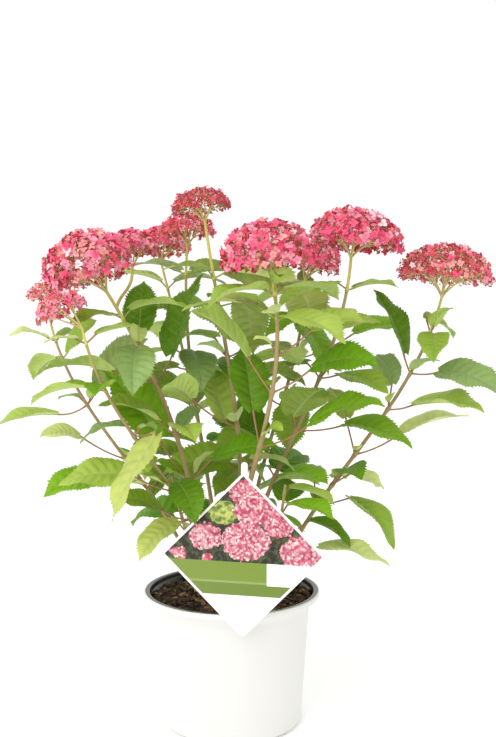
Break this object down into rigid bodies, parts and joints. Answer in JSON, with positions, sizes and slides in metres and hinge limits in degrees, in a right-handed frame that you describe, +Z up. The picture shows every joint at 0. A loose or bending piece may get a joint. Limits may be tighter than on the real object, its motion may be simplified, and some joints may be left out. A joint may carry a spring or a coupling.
{
  "type": "potted smooth hydrangea",
  "caption": "Flowering shrub with domed pink flower heads on leafy canes, standing in a round white nursery pot with a diamond plant label.",
  "frame": {"origin": "centre of the pot's flat underside", "axes": "+Z up, -Y towards the front, where the label hangs, +X to the plant's right as seen from the front"},
  "size_m": [0.5348, 0.3814, 0.5742],
  "materials": {
    "pot_plastic": "white moulded plastic, satin",
    "compost": "dark, damp bark compost",
    "card": "printed plastic card",
    "stake": "white plastic strip",
    "bark": "tan young bark",
    "leaf": "soft green leaf",
    "blossom": "raspberry pink petals"
  },
  "bodies": {
    "root": {"pot": "pot_plastic", "compost": "compost", "label_card": "card", "label_stake": "stake", "cane_far_left": "bark", "cane_left": "bark", "cane_left_tall": "bark", "cane_tall": "bark", "cane_front": "bark", "cane_right": "bark", "cane_back_right": "bark", "cane_far_right": "bark", "cane_back": "bark", "cane_back_left": "bark", "cane_low_right": "bark", "cane_low_back": "bark", "cane_low_back_left": "bark", "leaves_far_left": "leaf", "leaves_left": "leaf", "leaves_left_tall": "leaf", "leaves_tall": "leaf", "leaves_front": "leaf", "leaves_right": "leaf", "leaves_back_right": "leaf", "leaves_far_right": "leaf", "leaves_back": "leaf", "leaves_back_left": "leaf", "leaves_low_right": "leaf", "leaves_low_back": "leaf", "leaves_low_back_left": "leaf", "bloom_far_left": "blossom", "bloom_left": "blossom", "bloom_left_tall": "blossom", "bloom_tall": "blossom", "bloom_front": "blossom", "bloom_right": "blossom", "bloom_back_right": "blossom", "bloom_far_right": "blossom", "bloom_back": "blossom", "bloom_back_left": "blossom", "bloom_fork": "blossom"}
  },
  "joints": []
}
